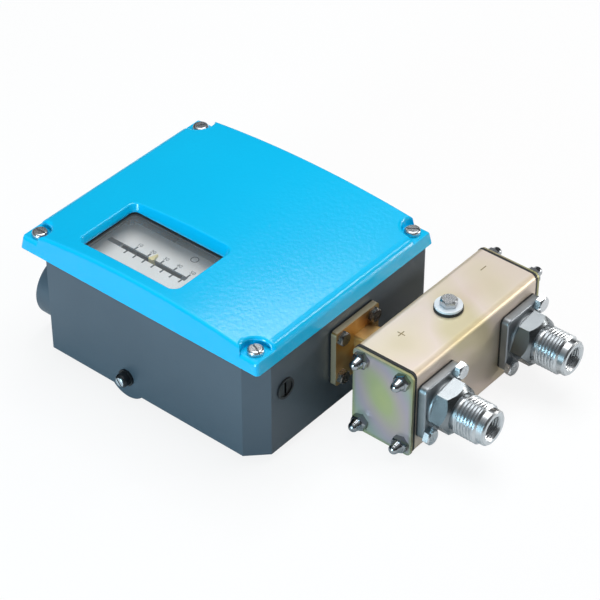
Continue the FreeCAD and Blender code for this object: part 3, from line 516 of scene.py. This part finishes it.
def mesh_of(build, name):
    """A mesh from a function that fills a bmesh."""
    shape = bmesh.new()
    build(shape)
    return plain_mesh(shape, name)


def shown_mesh(holder):
    """The plain mesh that an object shows, in place of the object."""
    depsgraph = bpy.context.evaluated_depsgraph_get()
    mesh = bpy.data.meshes.new_from_object(holder.evaluated_get(depsgraph))
    bpy.data.objects.remove(holder)
    return mesh


class Pattern(Sheet):
    """A Geometry Nodes tree with named number inputs."""

    def __init__(self, name, inputs):
        tree = bpy.data.node_groups.new(name, "GeometryNodeTree")
        super().__init__(tree)
        self.keys = {}
        for label, kind in inputs.items():
            socket = tree.interface.new_socket(label, in_out="INPUT", socket_type="NodeSocket" + kind)
            self.keys[label] = socket.identifier
        tree.interface.new_socket("Geometry", in_out="OUTPUT", socket_type="NodeSocketGeometry")
        self.source = tree.nodes.new("NodeGroupInput")

    def __getitem__(self, label):
        return Wire(self, self.source.outputs[label])

    def close(self, shape, material):
        """Ends the tree in plain, coloured geometry."""
        real = self.node("GeometryNodeRealizeInstances", None, {0: shape})
        coloured = self.node("GeometryNodeSetMaterial", None, {"Geometry": real, "Material": material})
        self.node("NodeGroupOutput", None, {0: coloured})

    def grown(self, name, values):
        """The pattern's plain mesh at these sizes."""
        seed = placed(name, bpy.data.meshes.new(name + "_seed"))
        modifier = seed.modifiers.new(name, "NODES")
        modifier.node_group = self.tree
        for label, value in values.items():
            modifier[self.keys[label]] = value
        return shown_mesh(seed)


def tick_pattern(material):
    """A row of equal strokes along +Y."""
    p = Pattern("tick_row", {"Count": "Int", "Pitch": "Float", "Start": "Vector", "Stroke": "Vector"})
    step = p.node("ShaderNodeCombineXYZ", None, {"Y": p["Pitch"]})
    sockets = {"Count": p["Count"], "Start Location": p["Start"], "Offset": step}
    row = p.node("GeometryNodeMeshLine", None, sockets)
    stroke = p.node("GeometryNodeMeshCube", None, {"Size": p["Stroke"]})
    shape = p.node("GeometryNodeInstanceOnPoints", None, {"Points": row, "Instance": stroke})
    p.close(shape, material)
    return p


def thread_pattern(name, material, inside):
    """A threaded sleeve that starts at the origin and runs towards -Y."""
    inputs = {label: "Float" for label in ("Radius", "Depth", "Pitch", "Length", "Runout", "Turns")}
    p = Pattern(name, {**inputs, "Around": "Int", "Along": "Int"})
    sockets = {"Size X": 1.0, "Size Y": 1.0, "Vertices X": p["Around"], "Vertices Y": p["Along"]}
    sheet = p.node("GeometryNodeMeshGrid", None, sockets)
    place = p.node("ShaderNodeSeparateXYZ", None, {0: p.node("GeometryNodeInputPosition")})
    across = place.twin("X") + 0.5
    row = (place.twin("Y") + 0.5) * p["Turns"]
    turn = across * (2 * math.pi)
    wave = (row.maths("PINGPONG", row, 0.5) * flank_rise - flat_cut).held(0.0, 1.0)
    along = ((row + across - 1.0) * p["Pitch"]).held(0.0, p["Length"])
    fade = (along.least(p["Length"] - along) / p["Runout"]).least(1.0)
    radius = p["Radius"] + p["Depth"] * wave * fade * (1.0 if inside else -1.0)
    cosine, sine = turn.maths("COSINE", turn), turn.maths("SINE", turn)
    sockets = {"X": radius * cosine, "Y": 0.0 - along, "Z": radius * sine}
    spot = p.node("ShaderNodeCombineXYZ", None, sockets)
    shape = p.node("GeometryNodeSetPosition", None, {"Geometry": sheet, "Position": spot})
    shape = p.node("GeometryNodeMergeByDistance", None, {"Geometry": shape, "Distance": weld})
    if not inside:
        shape = p.node("GeometryNodeFlipFaces", None, {"Mesh": shape})
    p.close(p.node("GeometryNodeSetShadeSmooth", None, {0: shape}), material)
    return p


def merged_copy(name):
    """A bmesh of a solid of the frame, with its loose triangles joined."""
    shape = bmesh.new()
    shape.from_mesh(nodes[name].data)
    bmesh.ops.remove_doubles(shape, verts=shape.verts, dist=weld)
    return shape


def own_mesh(shape, name):
    """A mesh from a bmesh, smooth but for its real edges."""
    mesh = plain_mesh(shape, name)
    mesh.materials.clear()
    given = mesh.attributes.get("custom_normal")
    if given:
        mesh.attributes.remove(given)
    mesh.shade_smooth()
    mesh.set_sharp_from_angle(angle=edge_angle)
    return mesh


def drop_wall(shape, axis, radius):
    """Takes out the plain cylinder wall of that radius round the port's axis, and tells its two ends."""
    doomed = []
    ends = []
    for face in shape.faces:
        off = [math.hypot(v.co.x - axis.x, v.co.z - axis.z) - radius for v in face.verts]
        ys = [v.co.y for v in face.verts]
        if max(map(abs, off)) < rim_tolerance and max(ys) - min(ys) > rim_tolerance:
            doomed.append(face)
            ends += ys
    bmesh.ops.delete(shape, geom=doomed, context="FACES")
    return min(ends), max(ends)


def make_fitting(side, steel, outer, inner):
    """Port fitting with both threads cut, in place of the plain solid."""
    node = "port_fitting_" + side
    thread, socket = mounts["port_thread_" + side], mounts["port_socket_" + side]
    axis = Vector(thread["pos_m"])
    shape = merged_copy(node)
    cuts = []
    for pattern, mount, depth, pitch in ((outer, thread, outer_depth, outer_pitch),
                                         (inner, socket, inner_depth, inner_pitch)):
        radius = mount["dims"]["r_mm"] * mm
        low, high = drop_wall(shape, axis, radius)
        cuts.append((pattern, radius, depth, pitch, high - low, high))
    for number, (pattern, radius, depth, pitch, length, start) in enumerate(cuts):
        turns = math.ceil(length / pitch) + 1
        sleeve = pattern.grown("thread_%s_%d" % (side, number), {
            "Radius": radius, "Depth": depth, "Pitch": pitch, "Length": length, "Runout": runout,
            "Turns": float(turns), "Around": thread_around + 1, "Along": turns * thread_steps + 1})
        sleeve.transform(Matrix.Translation((axis.x, start, axis.z)))
        shape.from_mesh(sleeve)
        bpy.data.meshes.remove(sleeve)
    mesh = own_mesh(shape, "fitting_" + side)
    made = piece("cut_fitting_" + side, mesh, steel, "case")
    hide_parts(node)


def make_flexing(node, material, play=0.0):
    """A smooth copy of a spring or bellows along Y: its low end is moved by the play along +Y, and its
    high end stays put.
    """
    low, high = map(Vector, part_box(node))
    shape = merged_copy(node)
    for v in shape.verts:
        v.co.y += play * (high.y - v.co.y) / (high.y - low.y)
    made = placed("flexing_" + node, own_mesh(shape, "flexing_" + node))
    made.data.materials.append(material)
    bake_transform(made)
    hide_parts(node)


def flat_bar(shape, low, high, z):
    """A thin printed bar between two plan corners."""
    corners = [(low[0], low[1]), (high[0], low[1]), (high[0], high[1]), (low[0], high[1])]
    add_prism(shape, corners, z, z + print_h)


def add_prism(shape, corners, z0, z1):
    """An upright prism over plan corners."""
    low = [shape.verts.new((x, y, z0)) for x, y in corners]
    high = [shape.verts.new((x, y, z1)) for x, y in corners]
    shape.faces.new(low[::-1])
    shape.faces.new(high)
    for i in range(len(corners)):
        j = (i + 1) % len(corners)
        shape.faces.new((low[i], low[j], high[j], high[i]))


def circle_points(x, y, radius):
    angles = [2 * math.pi * i / ring_sides for i in range(ring_sides)]
    return [(x + radius * math.cos(a), y + radius * math.sin(a)) for a in angles]


def add_ring(shape, x, y, outer, inner, z0, z1):
    """A flat ring as four walls of quads."""
    rows = []
    for radius, z in ((outer, z0), (outer, z1), (inner, z1), (inner, z0)):
        rows.append([shape.verts.new((px, py, z)) for px, py in circle_points(x, y, radius)])
    for row, after in zip(rows, rows[1:] + rows[:1]):
        for i in range(len(row)):
            j = (i + 1) % len(row)
            shape.faces.new((row[i], row[j], after[j], after[i]))


def number_mesh(text, x, y, z):
    """Digits as a thin print, read from the -X side."""
    curve = bpy.data.curves.new("digits", "FONT")
    curve.body = text
    curve.size = number_h
    curve.align_x = "CENTER"
    curve.align_y = "CENTER"
    curve.extrude = print_h / 2
    curve.resolution_u = digit_smooth
    mesh = shown_mesh(placed("digits", curve))
    turn = Matrix.Rotation(math.radians(-90), 4, "Z")
    mesh.transform(Matrix.Translation((x, y, z + print_h / 2)) @ turn)
    return mesh


def make_scale(ink, ticks):
    """Printed bar, two rows of ticks, numbers and a ring."""
    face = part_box("scale_plate")[1][2]
    left, right = bar_x - slot_w / 2, bar_x + slot_w / 2
    rows = {"fine_ticks": (left - tick_l / 2, fine_count, fine_pitch, fine_y),
            "coarse_ticks": (right + tick_l / 2, coarse_count, coarse_pitch, coarse_y)}
    for name, (x, count, pitch, first) in rows.items():
        start, stroke = (x, first, face + print_h / 2), (tick_l, tick_w, print_h)
        mesh = ticks.grown(name, {"Count": count, "Pitch": pitch, "Start": start, "Stroke": stroke})
        piece(name, mesh, ink, "case")
    joined = bmesh.new()
    for i in range(coarse_count):
        text = str(number_step * (coarse_count - i))
        digits = number_mesh(text, number_x, coarse_y + i * coarse_pitch, face)
        joined.from_mesh(digits)
        bpy.data.meshes.remove(digits)
    piece("scale_numbers", plain_mesh(joined, "scale_numbers"), ink, "case")

    def fill(shape):
        slot_low, slot_high = pointer_slot()
        edge = (slot_w - bar_w) / 2
        flat_bar(shape, (left + edge, bar_low_y), (right - edge, slot_low), face)
        flat_bar(shape, (left + edge, slot_high), (right - edge, bar_high_y), face)
        add_ring(shape, ring_x, ring_y, ring_r, ring_r - ring_w, face, face + print_h)

    piece("scale_bar", mesh_of(fill, "scale_bar"), ink, "case")


def pointer_slot():
    """Low and high end of the slot in the scale plate, from the solid."""
    corners = [v.co for v in nodes["scale_plate"].data.vertices]
    ys = [corner.y for corner in corners if abs(corner.x - bar_x) < slot_w / 2 + rim_tolerance]
    low, high = [corner[1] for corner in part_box("scale_plate")]
    inner = [y for y in ys if low + slot_margin < y < high - slot_margin]
    return min(inner), max(inner)


def make_marks(shade):
    """Plus and minus stamped on the sensor casing, beside the places of the two ports."""
    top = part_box("sensor_casing")[1][2]
    plus, minus = [mounts["port_thread_" + side]["pos_m"][0] + mark_from_port for side in ("high", "low")]
    arm = (mark_size - mark_w) / 2
    arm_y = mark_w / 2 + arm / 2
    strokes = [
        (plus, mark_y, mark_size, mark_w),
        (plus, mark_y - arm_y, mark_w, arm),
        (plus, mark_y + arm_y, mark_w, arm),
        (minus, mark_y, mark_size, mark_w),
    ]

    def fill(shape):
        for x, y, along_x, along_y in strokes:
            low, high = (x - along_x / 2, y - along_y / 2), (x + along_x / 2, y + along_y / 2)
            flat_bar(shape, low, high, top)

    piece("stamped_marks", mesh_of(fill, "stamped_marks"), shade, "case")


def dress_solids(steel, brass):
    """Gives every solid its finish."""
    black = moulded_plastic("black_plastic", rgb(16, 16, 17), rgb(27, 27, 29), 0.25)
    pale = moulded_plastic("pale_plastic", rgb(206, 202, 190), rgb(222, 218, 206), 0.4)
    dress(cover_enamel(), "cover")
    dress(housing_enamel(), "housing")
    dress(bright_zinc(), "cover_screws", "retainer_screws", "scale_screws", "chassis_screws",
          "terminal_screws", "switch_screws", "pivot_bolt", "port_screws", "neck_ring")
    dress(dull_zinc(), "port_flange_high", "port_flange_low")
    dress(plain_finish("white_zinc"), "pivot_washer")
    dress(plain_finish("polished_steel"), "cap_nuts", "tie_rods")
    dress(casing_plating(), "sensor_casing")
    dress(rainbow_zinc(), "end_plate_left", "end_plate_right")
    dress(neck_plating(), "neck_flange")
    dress(plain_finish("flange_screw_steel"), "flange_screws")
    dress(earth_screw_steel(), "earth_screw")
    dress(sealing_rubber(), "cover_gasket", "window_seal", "flange_gasket", "end_gasket_left",
          "end_gasket_right", "port_gaskets", "pivot_seal")
    # The window retainer gets the black plastic as painted shade, standing for the deep shade along the
    # window's edge.
    dress(black, "access_plug", "switch_body", "window_retainer", "earth_washer")
    dress(pale, "terminal_block", "switch_plunger")
    dress(window_glass(), "window_pane")
    dress(steel, "chassis_plate", "front_bracket", "rear_bracket", "switch_stand", "scale_posts", "rocker",
          "switching_beam", "guide_rod", "beam_pin", "push_rod", "bellows_seats", "pivot_spacers",
          "range_spring")
    dress(plain_finish("scale_enamel"), "scale_plate")
    dress(plain_finish("pointer_paint"), "pointer")
    dress(brass, "setpoint_spindle", "pointer_carriage", "rod_bush", "switch_tags", "bellows_high",
          "bellows_low")


def seen_rays(sheet):
    """One for rays from the eye, straight or through clear material, otherwise nothing."""
    rays = sheet.node("ShaderNodeLightPath")
    return (rays.twin("Is Camera Ray") + rays.twin("Is Transmission Ray")).least(1.0)


def floor_finish():
    """Near white to the eye, while it still takes the object's shadow."""
    f = Finish("studio_floor")
    matt = f.node("ShaderNodeLightPath").twin("Is Diffuse Ray")
    level = floor_gloss - (floor_gloss - floor_matt) * matt + floor_mottle * f.noise(3, 1)
    pale = f.mixed(level, rgb(0, 0, 0), rgb(255, 255, 255))
    paper = f.node("ShaderNodeBsdfDiffuse", None, {"Color": pale})
    glow = f.node("ShaderNodeEmission", None, {"Color": rgb(255, 255, 255), "Strength": 1.0})
    shader = f.node("ShaderNodeMixShader", None, {0: seen_rays(f) * floor_white, 1: paper, 2: glow})
    f.node("ShaderNodeOutputMaterial", None, {"Surface": shader})
    return f.material


def make_floor():
    def fill(shape):
        reach = floor_reach
        corners = [(-reach, -reach), (reach, -reach), (reach, reach), (-reach, reach)]
        shape.faces.new([shape.verts.new((x, y, 0.0)) for x, y in corners])

    floor = placed("floor", mesh_of(fill, "floor"))
    floor.data.materials.append(floor_finish())


def make_world():
    """White to the eye; to the object, a dim room that is bright overhead."""
    world = bpy.data.worlds.new("studio")
    world.use_nodes = True
    sheet = Sheet(world.node_tree)
    sheet.tree.nodes.clear()
    height = sheet.node("ShaderNodeSeparateXYZ", None, {0: sheet.node("ShaderNodeTexCoord")}, "Z")
    room = sheet.node("ShaderNodeMapRange", None, {
        "Value": height, "From Min": room_rise[0], "From Max": room_rise[1],
        "To Min": room_dim, "To Max": room_bright})
    seen = seen_rays(sheet)
    strength = seen + (1.0 - seen) * room
    back = sheet.node("ShaderNodeBackground", None, {"Color": room_tint, "Strength": strength})
    sheet.node("ShaderNodeOutputWorld", None, {"Surface": back})
    bpy.context.scene.world = world


def make_lamps():
    for name, (place, size, watts, colour) in lamps.items():
        lamp = bpy.data.lights.new(name, "AREA")
        lamp.shape = "RECTANGLE"
        lamp.size, lamp.size_y = size
        lamp.energy = watts
        lamp.color = colour
        holder = placed(name, lamp)
        holder.location = place
        holder.rotation_euler = (Vector(lamp_target) - Vector(place)).to_track_quat("-Z", "Y").to_euler()


def make_camera():
    lens = bpy.data.cameras.new("photo_camera")
    lens.sensor_width = sensor_mm
    lens.lens = focal_px * sensor_mm / photo_px
    lens.clip_end = camera_reach
    holder = placed("photo_camera", lens)
    a, e = camera_azimuth, camera_elevation
    back = Vector((math.sin(a) * math.cos(e), -math.cos(a) * math.cos(e), math.sin(e)))
    right = Vector((math.cos(a), math.sin(a), 0.0))
    up = back.cross(right)
    turn = Matrix((right, up, back)).transposed().to_4x4()
    holder.matrix_world = Matrix.Translation(camera_place) @ turn
    bpy.context.scene.camera = holder


sheet_steel = pressed_steel()
brass = turned_brass()
dress_solids(sheet_steel, brass)
ink = plain_finish("printing_ink")
make_scale(ink, tick_pattern(ink))
make_marks(plain_finish("stamped_shade"))
port_steel = turned_steel()
outer_thread = thread_pattern("outer_thread", port_steel, inside=False)
inner_thread = thread_pattern("inner_thread", port_steel, inside=True)
for port_side in ("high", "low"):
    make_fitting(port_side, port_steel, outer_thread, inner_thread)
for node_name in ("bellows_high", "bellows_low"):
    make_flexing(node_name, brass)
make_flexing("range_spring", sheet_steel, spring_play)
make_floor()
make_world()
make_lamps()
make_camera()
bpy.context.scene.view_settings.view_transform = "Standard"
